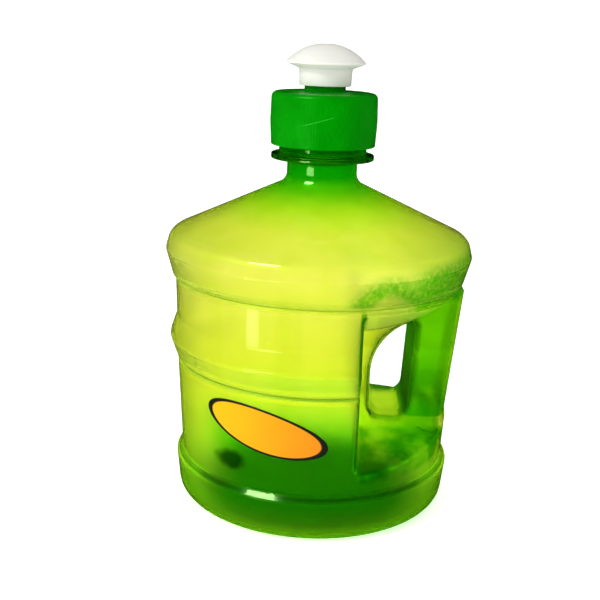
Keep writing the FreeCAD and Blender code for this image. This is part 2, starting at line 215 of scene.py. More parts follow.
# 0 where the value is at the first figure, 1 where it is at the second
def fade(nodes, value, nothing, full):
    return addNode(nodes, "ShaderNodeMapRange", {"Value": value, "From Min": nothing, "From Max": full},
                   interpolation_type="SMOOTHSTEP").outputs[0]


def multiply(nodes, masks):
    result = masks[0]
    for mask in masks[1:]:
        result = calculate(nodes, "MULTIPLY", result, mask)
    return result


# multiplies a colour by a tint where the mask is, or turns it to the tint
def blend(nodes, color, mask, tint, how="MULTIPLY"):
    return addNode(nodes, "ShaderNodeMix", {0: mask, 6: color, 7: tint}, data_type="RGBA",
                   blend_type=how).outputs[2]


# a slight change of tone, gloss and surface grain, shared by the opaque plastics and the print
grainShape = {
    "inputs": (("Color", "NodeSocketColor", (0.5, 0.5, 0.5, 1)),
               ("Shade", "NodeSocketColor", (0.4, 0.4, 0.4, 1)),
               ("Gloss", "NodeSocketFloat", 0.3), ("Cloud Scale", "NodeSocketFloat", 90.0),
               ("Grain Scale", "NodeSocketFloat", 2500.0), ("Grain Depth", "NodeSocketFloat", 0.3)),
    "outputs": (("Color", "NodeSocketColor"), ("Roughness", "NodeSocketFloat"),
                ("Normal", "NodeSocketVector")),
    "cloudDetail": 3.0,
    "cloudRange": (0.3, 0.7),
    "glossChange": (0.12, -0.06),     # times the cloud, then added
    "grainDetail": 2.0,
    "grainHeight": 0.0002,
}


def makeMouldedGrain(g):
    group = bpy.data.node_groups.new("mouldedGrain", "ShaderNodeTree")
    for name, kind, value in g["inputs"]:
        socket = group.interface.new_socket(name=name, in_out="INPUT", socket_type=kind)
        socket.default_value = value
    for name, kind in g["outputs"]:
        group.interface.new_socket(name=name, in_out="OUTPUT", socket_type=kind)
    nodes = group.nodes
    given = addNode(nodes, "NodeGroupInput").outputs
    place = addNode(nodes, "ShaderNodeTexCoord").outputs["Object"]
    cloud = addNoise(nodes, place, given["Cloud Scale"], g["cloudDetail"])
    tone = blend(nodes, given["Shade"], level(nodes, cloud, *g["cloudRange"]), given["Color"], "MIX")
    change = calculate(nodes, "MULTIPLY_ADD", cloud, *g["glossChange"])
    gloss = calculate(nodes, "ADD", given["Gloss"], change)
    grain = addNoise(nodes, place, given["Grain Scale"], g["grainDetail"])
    bump = addNode(nodes, "ShaderNodeBump", {"Strength": given["Grain Depth"], "Distance": g["grainHeight"],
                                             "Height": grain})
    addNode(nodes, "NodeGroupOutput", {"Color": tone, "Roughness": gloss, "Normal": bump.outputs["Normal"]})
    return group


mouldedGrain = makeMouldedGrain(grainShape)


def addGrain(nodes, values):
    return addNode(nodes, "ShaderNodeGroup", values, node_tree=mouldedGrain).outputs


# an opaque surface with the grain's gloss and relief
def addSurface(nodes, color, grain, values):
    shader = addNode(nodes, "ShaderNodeBsdfPrincipled", {"Base Color": color, "Roughness": grain["Roughness"],
                                                         "Normal": grain["Normal"], **values})
    addNode(nodes, "ShaderNodeOutputMaterial", {"Surface": shader.outputs[0]})


# the see-through plastic, in metres
tintedPlastic = {
    "ior": 1.38,
    "skins": (0.05, 0.34, 0.85),      # roughness outside, inside and in the finger hole
    "clearness": 0.95,
    "sheenTint": (0.50, 0.92, 0.30),
    "depth": (0.78, 0.92, 0.0),       # absorption inside the wall
    "density": 400.0,
    "waves": {"noise": (26.0, 2.0, 0.45), "strength": 0.25, "height": 0.0015},
    "top": 0.165,
    # tint of one wall by height; the base's very deep green is partly its thick plastic and partly painted
    # shade of its shadow on the floor, and the lighter band from 60.5 to 67.5 mm is painted light against the
    # shade that the roll's lower face shows
    "tint": [(0.0, (0.010, 0.21, 0.002)), (0.0050, (0.014, 0.25, 0.003)), (0.0085, (0.44, 0.80, 0.04)),
             (0.017, (0.62, 0.88, 0.07)), (0.022, (0.76, 0.91, 0.10)), (0.034, (0.83, 0.88, 0.14)),
             (0.055, (0.86, 0.87, 0.19)), (0.0595, (0.86, 0.87, 0.20)), (0.0605, (0.98, 0.94, 0.32)),
             (0.0675, (0.98, 0.94, 0.32)), (0.0690, (0.85, 0.83, 0.23)), (0.080, (0.87, 0.83, 0.30)),
             (0.105, (0.96, 0.90, 0.50)), (0.117, (0.92, 0.90, 0.32)), (0.124, (0.58, 0.86, 0.07)),
             (0.1295, (0.16, 0.72, 0.01)), (0.134, (0.02, 0.54, 0.003)), (0.1385, (0.02, 0.50, 0.003)),
             (0.1400, (0.03, 0.34, 0.004)), (0.1424, (0.03, 0.34, 0.004)), (0.1432, (0.01, 0.32, 0.002)),
             (0.165, (0.01, 0.32, 0.002))],
    # upright streaks of tone, partly thickness as blowing leaves it and partly painted reflection of soft
    # light bands; a noise is its scale, detail and roughness
    "streaks": {"noise": (75.0, 2.0), "stretch": 0.12, "range": (0.42, 0.72),
                "tint": (0.93, 0.97, 0.75)},
    # noise on the recesses' floor and above their roof
    "blotches": (110.0, 3.0),
    "specks": (600.0, 3.0),
    # the grooves get a painted dark line of shade and are duller: height, how far towards the handle, and
    # roughness
    "grooves": ((0.0183, 0.1, 0.12), (0.05935, 0.0173, 0.55), (0.09325, 0.1, 0.55)),
    "groove": {"line": (0.00045, 0.000135), "dull": (0.0018, 0.0009), "end": 0.0008,
               "tint": (0.30, 0.45, 0.12)},
    # the plastic gathers in an arch above the recess, and over the bar up to a sloping line
    "arch": {"middle": (0.0265, 0, 0.0905), "slope": -0.15,
             "ring": [("span", 0.0055, 0.0100), ("span", 0.0180, 0.0110), ("z", 0.0930, 0.0955)],
             "overBar": [("x", 0.0240, 0.0420), ("z", 0.087, 0.091), ("rise", 0.1035, 0.0960)]},
    # a dark spot of painted shadow, low on the front left
    "paintedShadow": {"middle": (-0.0305, 0, 0.0290), "half": (0.0080, 0, 0.0056)},
    "recessWall": 0.0172,             # x of the recess's upright side wall
    # changes of the tint, in order. Each fade is a measure with where it is nothing and where it is full:
    # side is from the handle's plane, radius from the axis, recessWall from the recess's side wall
    "changes": (
        # the handle's bar is thicker, most of all at its foot
        ("MULTIPLY", (0.36, 0.78, 0.03),
         [("x", 0.0358, 0.0376), ("z", 0.0945, 0.0925), ("z", 0.0392, 0.0398)]),
        ("MULTIPLY", (0.22, 0.62, 0.02),
         [("x", 0.0358, 0.0376), ("z", 0.0945, 0.0925), ("z", 0.0392, 0.0398), ("z", 0.060, 0.040)]),
        # below the finger hole, and in blotches on the recesses' floor
        ("MULTIPLY", (0.20, 0.60, 0.03),
         [("x", 0.0150, 0.0420), ("z", 0.0398, 0.0392), ("z", 0.028, 0.034), ("side", 0.0165, 0.0190)]),
        ("MULTIPLY", (0.16, 0.58, 0.04),
         [("x", 0.0178, 0.0200), ("z", 0.0352, 0.0335), ("z", 0.022, 0.026), ("blotch", 0.30, 0.62)]),
        # the mottled arch
        ("MULTIPLY", (0.17, 0.62, 0.03), ["arch", ("y", 0.060, -0.030), ("speck", 0.23, 0.60)]),
        # painted light: the recess's roof is made the clearest, to offset the shade of seeing it through more
        # walls
        ("MIX", (0.95, 0.96, 0.45),
         [("radius", 0.0572, 0.0566), ("z", 0.0775, 0.0790), ("side", 0.0200, 0.0206), ("x", 0.0165, 0.0172),
          ("z", 0.0945, 0.0930)]),
        # the foot's lower corner is lighter than the base inside it
        ("MIX", (0.46, 0.76, 0.04), [("radius", 0.0460, 0.0510), ("z", 0.0100, 0.0070)]),
        # painted shade: the foot's front is darker, for the shadowed base seen through it, and it has a dark
        # spot of painted shadow
        ("MULTIPLY", (0.16, 0.78, 0.02), [("y", -0.034, -0.050), ("z", 0.057, 0.036), ("z", 0.002, 0.016)]),
        ("MULTIPLY", (0.12, 0.26, 0.08), [("paintedShadow", 1.45, 0.85), ("y", -0.010, -0.020)]),
        # painted shade along the recess's side wall, high up, and along its outer edge
        ("MULTIPLY", (0.34, 0.66, 0.06),
         [("recessWall", 0.0013, 0.0006), ("z", 0.028, 0.034), ("z", 0.094, 0.090), ("side", 0.018, 0.022),
          ("z", 0.058, 0.068)]),
        ("MULTIPLY", (0.40, 0.66, 0.15),
         [("recessWall", 0.0013, 0.0006), ("z", 0.028, 0.034), ("z", 0.094, 0.090), ("side", 0.048, 0.050)]),
        # the finger hole's darker welded rim, and painted shade on the bar's side of the hole
        ("MULTIPLY", (0.10, 0.38, 0.03), ["weldAndShade"]),
    ),
}


def makeTintedPlastic(p):
    material, nodes = newMaterial("tintedBottlePlastic")
    place = addNode(nodes, "ShaderNodeTexCoord").outputs["Object"]
    x, y, z = addNode(nodes, "ShaderNodeSeparateXYZ", {0: place}).outputs
    arch, paintedShadow, streaks, groove, waves = (p[k] for k in ("arch", "paintedShadow", "streaks", "groove", "waves"))
    blotch = addNoise(nodes, place, *p["blotches"])
    measures = {
        "x": x, "y": y, "z": z,
        "side": calculate(nodes, "ABSOLUTE", y),
        "radius": farFrom(nodes, place, (0, 0, 0), (1, 1, 0)),
        "recessWall": calculate(nodes, "ABSOLUTE", calculate(nodes, "SUBTRACT", x, p["recessWall"])),
        "span": farFrom(nodes, place, arch["middle"], (1, 0, 1)),
        "rise": calculate(nodes, "MULTIPLY_ADD", x, arch["slope"], z),
        # a blotched spot of painted shadow
        "paintedShadow": calculate(nodes, "ADD", farFrom(nodes, place, paintedShadow["middle"], paintedShadow["half"]), blotch),
        "blotch": blotch,
        "speck": addNoise(nodes, place, *p["specks"]),
        # the weld mark, with painted shade on the bar's side of the hole
        "weldAndShade": addNode(nodes, "ShaderNodeAttribute", attribute_name="weldAndShade").outputs["Fac"],
    }

    def where(fades):
        masks = [measures[f] if isinstance(f, str) else fade(nodes, measures[f[0]], *f[1:]) for f in fades]
        return multiply(nodes, masks)

    measures["arch"] = calculate(nodes, "MAXIMUM", where(arch["ring"]), where(arch["overBar"]))
    tint = addRamp(nodes, level(nodes, z, 0.0, p["top"]),
                   [(height / p["top"], (*color, 1)) for height, color in p["tint"]])
    drawn = addNode(nodes, "ShaderNodeMapping", {"Vector": place, "Scale": (1, 1, streaks["stretch"])})
    streak = fade(nodes, addNoise(nodes, drawn.outputs[0], *streaks["noise"]), *streaks["range"])
    tint = blend(nodes, tint, streak, (*streaks["tint"], 1))
    dull = []
    for height, reach, roughness in p["grooves"]:
        gap = calculate(nodes, "ABSOLUTE", calculate(nodes, "SUBTRACT", z, height))
        before = fade(nodes, x, reach, reach - groove["end"])
        # a painted dark line of shade along the groove
        line = multiply(nodes, [fade(nodes, gap, *groove["line"]), before])
        tint = blend(nodes, tint, line, (*groove["tint"], 1))
        dull.append((multiply(nodes, [fade(nodes, gap, *groove["dull"]), before]), roughness))
    for how, color, fades in p["changes"]:
        tint = blend(nodes, tint, where(fades), (*color, 1), how)

    swirl = addNoise(nodes, place, *waves["noise"])
    relief = addNode(nodes, "ShaderNodeBump", {"Strength": waves["strength"], "Distance": waves["height"],
                                               "Height": swirl}).outputs["Normal"]
    skin = addNode(nodes, "ShaderNodeAttribute", attribute_name="skin").outputs["Fac"]
    gloss = addRamp(nodes, skin, [(i / 2, (rough, rough, rough, 1)) for i, rough in enumerate(p["skins"])])
    for mask, roughness in dull:
        dulled = addNode(nodes, "ShaderNodeMix", {0: mask, 2: gloss, 3: roughness}, data_type="FLOAT")
        gloss = dulled.outputs[0]
    shader = addNode(nodes, "ShaderNodeBsdfPrincipled", {
        "Base Color": tint, "Roughness": gloss, "Normal": relief, "IOR": p["ior"],
        "Transmission Weight": p["clearness"], "Specular Tint": (*p["sheenTint"], 1)})
    clear = addNode(nodes, "ShaderNodeBsdfTransparent", {"Color": tint})
    inShadow = addNode(nodes, "ShaderNodeLightPath").outputs["Is Shadow Ray"]
    mix = addNode(nodes, "ShaderNodeMixShader", {0: inShadow, 1: shader.outputs[0], 2: clear.outputs[0]})
    soak = addNode(nodes, "ShaderNodeVolumeAbsorption", {"Color": (*p["depth"], 1), "Density": p["density"]})
    addNode(nodes, "ShaderNodeOutputMaterial", {"Surface": mix.outputs[0], "Volume": soak.outputs[0]})
    return material


plasticIor = 1.5
opaquePlastics = {
    "greenCapPlastic": {
        "grain": {"Color": (0.0, 0.255, 0.0, 1), "Shade": (0.0, 0.21, 0.0, 1), "Gloss": 0.26},
        "sheen": 0.14, "sheenTint": (0.12, 1.0, 0.12),
        # a light line across the cap's front
        "lightLine": {"from": (-0.0105, 0.1538), "to": (0.0056, 0.1586), "line": (0.00022, 0.000044),
                    "taper": 0.004, "front": (0.0, -0.010), "color": (0.02, 0.42, 0.02, 1)}},
    "whiteSpoutPlastic": {
        "grain": {"Color": (0.76, 0.76, 0.70, 1), "Shade": (0.73, 0.73, 0.67, 1), "Gloss": 0.30},
        "sheen": 0.10, "sheenTint": (1.0, 1.0, 1.0)},
    "whiteSealFoam": {
        "grain": {"Color": (0.85, 0.85, 0.82, 1), "Shade": (0.75, 0.75, 0.72, 1), "Gloss": 0.75,
                  "Grain Scale": 1500.0, "Grain Depth": 0.9},
        "sheen": 0.3, "sheenTint": (1.0, 1.0, 1.0)},
}


# a light line across the front
def addLightLine(nodes, color, s):
    (x0, z0), (x1, z1) = s["from"], s["to"]
    place = addNode(nodes, "ShaderNodeTexCoord").outputs["Object"]
    x, y, z = addNode(nodes, "ShaderNodeSeparateXYZ", {0: place}).outputs
    slope = (z1 - z0) / (x1 - x0)
    line = calculate(nodes, "MULTIPLY_ADD", x, -slope, slope * x0 - z0)
    off = calculate(nodes, "ABSOLUTE", calculate(nodes, "ADD", line, z))
    masks = [fade(nodes, off, *s["line"]), fade(nodes, x, x0, x0 + s["taper"]),
             fade(nodes, x, x1, x1 - s["taper"]), fade(nodes, y, *s["front"])]
    return blend(nodes, color, multiply(nodes, masks), s["color"], "MIX")


def makeOpaque(name):
    p = opaquePlastics[name]
    material, nodes = newMaterial(name)
    grain = addGrain(nodes, p["grain"])
    color = addLightLine(nodes, grain["Color"], p["lightLine"]) if "lightLine" in p else grain["Color"]
    addSurface(nodes, color, grain, {"IOR": plasticIor, "Specular IOR Level": p["sheen"],
                                     "Specular Tint": (*p["sheenTint"], 1)})
    return material


bottlePlastic = makeTintedPlastic(tintedPlastic)
capPlastic = makeOpaque("greenCapPlastic")
spoutPlastic = makeOpaque("whiteSpoutPlastic")
sealFoam = makeOpaque("whiteSealFoam")
print("plastics mixed")


# the blown bottle, in mm
jugShape = {
    "wall": 1.1,
    "outside": [(0, 3.0, 0), (43.0, 0, 6), (55.4, 0, 6.5), (57.2, 17.2, 1.2), (54.8, 19.4, 1.2),
                (56.9, 58.6, 0.3), (56.2, 59.35, 0.3), (57.3, 60.1, 0.3), (60.2, 68.2, 4), (57.4, 76.5, 4),
                (57.9, 92.5, 0.3), (57.2, 93.25, 0.3), (59.2, 94.0, 0.3), (61.9, 103.8, 1.6),
                (60.3, 110.1, 5), (14.0, 131.7, 4.5), (14.0, 139.3, 0.6), (20.5, 140.3, 0.3),
                (20.5, 142.2, 0.3), (17.4, 142.8, 0.4), (17.4, 163.25, 0.5), (15.2, 163.25, 0.4)],
    "inside": [(15.2, 142.8, 1), (12.5, 140.3, 1), (12.5, 130.6, 5), (59.2, 109.0, 3.9), (60.8, 103.8, 0.5),
               (58.1, 96.2, 1.5), (56.1, 93.25, 1), (56.8, 90.3, 1.5), (56.3, 76.5, 3), (59.1, 68.2, 3),
               (56.2, 62.3, 1.5), (55.1, 59.35, 1), (55.8, 56.4, 1.5), (53.7, 19.4, 1.0), (56.1, 16.65, 0.8),
               (54.3, 1.1, 5.4), (43.0, 1.1, 5), (0, 4.1, 0)],
    "sectors": [(36, 20), (57, 72), (210, 72), (57, 72)],
    "start": -18,
    # rows and rings of points, as (from, before, step)
    "outerRows": [(9, 17, 3.5), (21, 27, 1.8), (27.2, 36, 0.5), (36.4, 58.2, 1.8), (62, 66, 2),
                  (70.5, 74.8, 2), (77.2, 80, 0.35), (80.2, 92.2, 0.8), (95.5, 103, 2.4), (133, 139, 2),
                  (144, 162.6, 0.7)],
    "innerRows": [(9, 16, 4), (21, 27, 3), (27, 36, 1.0), (37, 56, 2.6), (64, 75, 4), (77, 80, 0.8),
                  (80.2, 90, 1.4), (100, 136, 35), (150, 151, 1)],
    "rings": [(7, 42, 8), (48, 49, 1), (19, 57, 4)],
    # the handle's pinched form
    "recessSide": 17.5,
    "gripHalf": 19.5,
    "floor": 35.0,
    "floorFall": 12.0,
    "noseReach": 53.4,
    "noseLean": 5.2,
    "noseRound": 7.5,
    "roofAxis": 73.75,
    "roofKnee": (43.0, 79.75),
    "roofRise": 0.75,
    "kneeRound": 3.0,
    "edgeRound": 1.5,
    "roofEdge": 0.3,                  # the edge is sharper under the crease, and softens over edgeRun
    "edgeRun": 6.0,
    "leastRound": 0.2,
    "innerEase": 0.9,                 # how much of the wall's thickness the inner skin's rounds lose
    "bayRound": 1.0,
    "cornerRound": 1.6,
    "wallSpan": (17.3, 109),
    "pressZone": {"z": (24, 94.5), "angle": 80, "radius": 30, "room": 4.0},
    "hole": {"left": 22.7, "sill": 38.2, "bar": 37.4, "barLean": 2.7, "head": 78.95,
             "arch": (45.0, 57.35, 22.3), "cornerRound": 5.0, "topRound": 3.0, "rim": 1.8,
             "draft": 1.0, "waist": 0.6, "draftSpan": (26, 34)},
    # where the hole is opened, where its rim is evened out, and where the welded rim is darkened and the
    # bar's side of the hole gets painted shade
    "cut": {"x": (15, 48), "z": (30, 85), "side": 8, "margin": 0.5, "across": 20, "rows": (23, 15)},
    "ease": {"x": (15, 52), "z": (31, 86), "side": 14, "margin": 4, "reach": 7, "rounds": 30},
    # the rim's dark weld, and painted shade on the bar's side of the hole
    "weldAndShade": {"x": (14, 50), "z": (30, 86), "side": (15.5, 21), "half": 1.0, "low": 42, "bar": 35.5,
             "barSide": 1.0, "lowRim": 0.8, "highRim": 0.3},
    "dullBase": 6.0,
    "mouth": {"z": (143.2, 162.7), "radius": 17.0},
    "thread": {"pitch": 4.23, "low": 146.6, "start": 0.0, "end": 2.6, "crest": 1.2, "width": 2.0},
}


# the larger of two distances, with a round where they meet
def roundMax(a, b, radius):
    near = np.hypot(np.maximum(a + radius, 0), np.maximum(b + radius, 0)) - radius
    return np.where((a > -radius) & (b > -radius), near, np.maximum(a, b))


def roundMin(a, b, radius):
    return -roundMax(-a, -b, radius)


# distance from the finger hole's edge, less than nothing inside it
def holeDistance(p, j):
    h = j["hole"]
    x, z = p[:, 0], p[:, 2]
    begin, end = h["draftSpan"]
    flare = np.abs(p[:, 1]) / j["gripHalf"] - h["waist"]  # the hole is narrowest half-way through
    draft = h["draft"] * flare * np.clip((x - begin) / (end - begin), 0, 1)
    archX, archZ, archRadius = h["arch"]
    left = np.where(z > archZ, np.hypot(x - archX, z - archZ) - archRadius, h["left"] - x)
    left = np.where(x > archX, -archRadius, left)
    sill = h["sill"] - z
    lean = math.tan(math.radians(h["barLean"]))
    bar = (x - h["bar"] - lean * (z - j["floor"])) / math.hypot(1, lean)
    head = z - h["head"]
    return np.maximum.reduce([roundMax(left, sill, h["cornerRound"]), roundMax(bar, sill, h["cornerRound"]),
                              roundMax(bar, head, h["topRound"]), left]) - draft


# distance from the outside, or from the inside, of the pinched bottle, in mm
def skinDistance(p, j, section, inner, pierced=True):
    x, side, z = p[:, 0], np.abs(p[:, 1]), p[:, 2]
    radius = np.hypot(x, side)
    grow = j["wall"] if inner else 0.0
    sectionR, sectionZ = section
    slope = np.gradient(sectionR, sectionZ)
    wall = (radius - np.interp(z, sectionZ, sectionR)) / np.hypot(1, np.interp(z, sectionZ, slope))
    lean = math.tan(math.radians(j["noseLean"]))
    nose = (x - j["noseReach"] - lean * (z - j["floor"])) / math.hypot(1, lean)
    grip = roundMax(nose, side - j["gripHalf"], j["noseRound"])
    fall = math.tan(math.radians(j["floorFall"]))
    floor = (z - j["floor"] + fall * (side - j["gripHalf"])) / math.hypot(1, fall)
    kneeR, kneeZ = j["roofKnee"]
    heel = (kneeZ - j["roofAxis"]) / kneeR
    rise = j["roofRise"]
    roof = roundMax((j["roofAxis"] + heel * radius - z) / math.hypot(1, heel),
                    (kneeZ + rise * (radius - kneeR) - z) / math.hypot(1, rise), j["kneeRound"])
    corner = j["cornerRound"]
    edge = j["roofEdge"] + (j["edgeRound"] - j["roofEdge"]) * np.clip(roof / j["edgeRun"], 0, 1)
    bay = roundMin(x - j["recessSide"], roundMin(floor, roof, j["bayRound"]), corner) + grow
    ease = j["innerEase"] * grow
    cut = roundMax(wall, bay, np.maximum(edge - ease, j["leastRound"]))
    skin = roundMin(cut, np.maximum(grip + grow, -bay), corner)
    if pierced:
        skin = roundMax(skin, grow - holeDistance(p, j), j["hole"]["rim"] - ease)
    return skin


# moves points of the round wall straight in towards the axis, onto the pinched form
def pressHandle(p, j, section, inner, halvings=40):
    start = np.hypot(p[:, 0], p[:, 1])
    across = p[:, :2] / np.maximum(start, 1e-9)[:, None]
    low, high = np.zeros(len(p)), start + j["pressZone"]["room"]
    moved = p.copy()
    for _ in range(halvings):
        middle = (low + high) / 2
        moved[:, :2] = across * middle[:, None]
        out = skinDistance(moved, j, section, inner, pierced=False) > 0
        high = np.where(out, middle, high)
        low = np.where(out, low, middle)
    return moved


# evens out the free points along the skin and keeps them on it
def settle(p, links, free, distance, rounds, strength=0.5, probe=0.02, leastSlope=0.2):
    count = np.zeros(len(p))
    np.add.at(count, links[:, 0], 1)
    np.add.at(count, links[:, 1], 1)
    for _ in range(rounds):
        total = np.zeros_like(p)
        np.add.at(total, links[:, 0], p[links[:, 1]])
        np.add.at(total, links[:, 1], p[links[:, 0]])
        q = p[free]
        q = q + strength * (total[free] / count[free][:, None] - q)
        for _ in range(2):
            level = distance(q)
            slope = np.stack([(distance(q + probe * axis) - distance(q - probe * axis)) / (2 * probe)
                              for axis in np.eye(3)], axis=1)
            length = np.maximum((slope ** 2).sum(1), leastSlope)
            q = q - (level / length)[:, None] * slope
        p[free] = q
    return p


# which places lie inside a zone's spans of x and z
def within(p, zone):
    (left, right), (low, high) = zone["x"], zone["z"]
    return (p[:, 0] > left) & (p[:, 0] < right) & (p[:, 2] > low) & (p[:, 2] < high)


def readPlaces(bm):
    return np.array([v.co for v in bm.verts]) / mm


def movePoints(bm, places):
    for vert, place in zip(bm.verts, places):
        vert.co = Vector(place) * mm


def readFlags(bm, layer):
    return np.array([v[layer] for v in bm.verts], bool)


# the section's points in order, from the outer pole round the lip to the inner pole
def walkSection(bm):
    start = min((v for v in bm.verts if v.co.x < 1e-7), key=lambda v: v.co.z)
    walk, seen = [start], {start}
    while True:
        ahead = [e.other_vert(walk[-1]) for e in walk[-1].link_edges if e.other_vert(walk[-1]) not in seen]
        if not ahead:
            return walk
        walk.append(ahead[0])
        seen.add(ahead[0])


# one skin's wall as radii and heights, in mm
def readWall(chain, j):
    low, high = j["wallSpan"]
    wall = sorted((v.z / mm, v.x / mm) for v in chain
                  if low < v.z / mm < high and v.x / mm > j["pressZone"]["radius"])
    heights, radii = np.array(wall).T
    return radii, heights + np.arange(len(heights)) * 1e-7


# opens the finger hole through one skin, from recess to recess
def pierce(bm, j, skin, skinLayer, tunnelLayer):
    c = j["cut"]
    faces = [f for f in bm.faces
             if bool(f.verts[0][skinLayer]) == skin and bool(f.verts[2][skinLayer]) == skin]
    middle = np.array([f.calc_center_median() for f in faces]) / mm
    side = np.abs(middle[:, 1])
    gone = within(middle, c) & (side > c["side"]) & (side < j["gripHalf"] + c["margin"]) & \
        (holeDistance(middle, j) < (j["wall"] if skin else 0.0))
    bmesh.ops.delete(bm, geom=[faces[i] for i in np.flatnonzero(gone)], context="FACES")
    bridged = bmesh.ops.bridge_loops(bm, edges=[e for e in bm.edges if e.is_boundary])
    across = [e for e in bridged["edges"] if abs(e.verts[0].co.y - e.verts[1].co.y) > c["across"] * mm]
    split = bmesh.ops.subdivide_edges(bm, edges=across, cuts=c["rows"][int(skin)], use_grid_fill=True)
    for item in split["geom_inner"]:
        if isinstance(item, bmesh.types.BMVert) and item.is_valid:
            item[skinLayer] = int(skin)
            item[tunnelLayer] = 1


# what the plastic's material reads: the weld with the painted shade on the bar's side, and the skin as 0
# outside, 0.5 inside and 1 in the finger hole
def markSkins(bm, j, inner, tunnel):
    w = j["weldAndShade"]
    place = readPlaces(bm)
    side = np.abs(place[:, 1])
    onRim = within(place, w) & (np.abs(holeDistance(place, j)) < w["half"]) & \
        (side > w["side"][0]) & (side < w["side"][1])
    onBar = place[:, 0] > w["bar"]
    rim = np.where((place[:, 2] < w["low"]) | onBar, w["lowRim"], w["highRim"])
    # painted shade on the bar's side of the hole, a dark weld on the rim elsewhere
    weldAndShade = np.where(tunnel & onBar, w["barSide"], np.where(onRim, rim, 0.0))
    skin = np.where(inner, 0.5, np.where(tunnel, 1.0, 0.0))
    skin[inner & (place[:, 2] < j["dullBase"])] = 1.0  # the base is dull inside
    for name, values in (("weldAndShade", np.where(inner, 0.0, weldAndShade)), ("skin", skin)):
        layer = bm.verts.layers.float.new(name)
        for vert, value in zip(bm.verts, values):
            vert[layer] = value


def makeJug(j):
    bm = bmesh.new()
    drawSection(bm, j["outside"] + j["inside"])
    skinLayer = bm.verts.layers.int.new("innerSkin")
    tunnelLayer = bm.verts.layers.int.new("tunnel")
    walk = walkSection(bm)
    lip = max(range(len(walk)), key=lambda i: (round(walk[i].co.z, 7), -walk[i].co.x))
    for i, vert in enumerate(walk):
        vert[skinLayer] = int(i >= lip)
    chains = [[v.co.copy() for v in part] for part in (walk[:lip], walk[lip:])]
    cutRows(bm, spread(j["outerRows"]), lambda e: not (e.verts[0][skinLayer] or e.verts[1][skinLayer]))
    cutRows(bm, spread(j["innerRows"]), lambda e: e.verts[0][skinLayer] and e.verts[1][skinLayer])
    cutRings(bm, spread(j["rings"]))
    spinAround(bm, j["sectors"], start=j["start"])

    # press the handle's recesses in, outside and inside
    place = readPlaces(bm)
    inner = readFlags(bm, skinLayer)
    zone = j["pressZone"]
    angle = np.arctan2(place[:, 1], place[:, 0])
    reach = np.hypot(place[:, 0], place[:, 1])
    inZone = (place[:, 2] > zone["z"][0]) & (place[:, 2] < zone["z"][1]) & (reach > zone["radius"]) & \
        (np.abs(angle) < math.radians(zone["angle"]))
    sections = [readWall(chain, j) for chain in chains]
    for skin, section in zip((False, True), sections):
        pressed = inZone & (inner == skin)
        place[pressed] = pressHandle(place[pressed], j, section, skin)

    # the thread on the mouth
    lift = threadLift(angle / (2 * math.pi) % 1.0, place[:, 2], j["thread"])
    low, high = j["mouth"]["z"]
    onMouth = ~inner & (place[:, 2] > low) & (place[:, 2] < high) & (reach > j["mouth"]["radius"])
    place[onMouth, :2] *= (1 + lift[onMouth] / reach[onMouth])[:, None]

    # the finger hole, through both skins
    movePoints(bm, place)
    for skin in (False, True):
        pierce(bm, j, skin, skinLayer, tunnelLayer)
    bm.verts.index_update()
    place = readPlaces(bm)
    inner, tunnel = readFlags(bm, skinLayer), readFlags(bm, tunnelLayer)
    links = np.array([[v.index for v in e.verts] for e in bm.edges])
    ease = j["ease"]
    for skin, section in zip((False, True), sections):
        side = np.abs(place[:, 1])
        near = within(place, ease) & (side < j["gripHalf"] + ease["margin"]) & (inner == skin) & \
            (holeDistance(place, j) < (j["wall"] if skin else 0.0) + ease["reach"])
        free = np.flatnonzero(near & (tunnel | (side > ease["side"])))
        place = settle(place, links, free, lambda q: skinDistance(q, j, section, skin), ease["rounds"])
    movePoints(bm, place)
    bmesh.ops.recalc_face_normals(bm, faces=bm.faces[:])
    markSkins(bm, j, inner, tunnel)
    for name in ("innerSkin", "tunnel"):
        bm.verts.layers.int.remove(bm.verts.layers.int[name])
    print("jug turned, pressed and pierced:", len(bm.faces), "faces")
    return bm


addPiece("jugBottle", makeJug(jugShape), bottlePlastic, "jug", ["bottle"])


# the screw cap, with its boss and valve post, in mm
capShape = {
    "section": [(0, 182.4, 0), (2.4, 182.4, 0.7), (2.4, 175.4, 0.3), (8.9, 175.4, 0.35), (8.9, 173.9, 0.3),
                (8.1, 173.9, 0.2), (8.1, 167.0, 0.6), (20.9, 166.1, 2.2), (21.2, 155.1, 12),
                (20.7, 145.6, 0.45), (19.2, 145.6, 0.3), (19.2, 164.35, 0.5), (6.2, 164.35, 0.4),
                (6.2, 174.1, 0.5), (0, 174.1, 0)],
    "steps": 480,
    "bore": 19.2,
    "skirt": 20.5,                    # the outer side lies beyond this radius
    "boreRows": [(147, 163, 0.7)],
    "skirtRows": [(147, 165, 1.2)],
    "rings": [(10, 20, 2)],
    "ribs": {"count": 120, "depth": 0.10, "span": (146.8, 163.8), "fade": 0.8, "from": 20.4},
    "ports": {"count": 6, "circle": 4.3, "radius": 1.2, "height": 174.8, "depth": 4.0, "sides": 24},
    "sharp": 40,
    "thread": {"pitch": 4.23, "low": 146.6, "start": 0.5, "end": 2.9, "crest": 1.4, "width": 2.0,
               "span": (146, 163.5)},
}


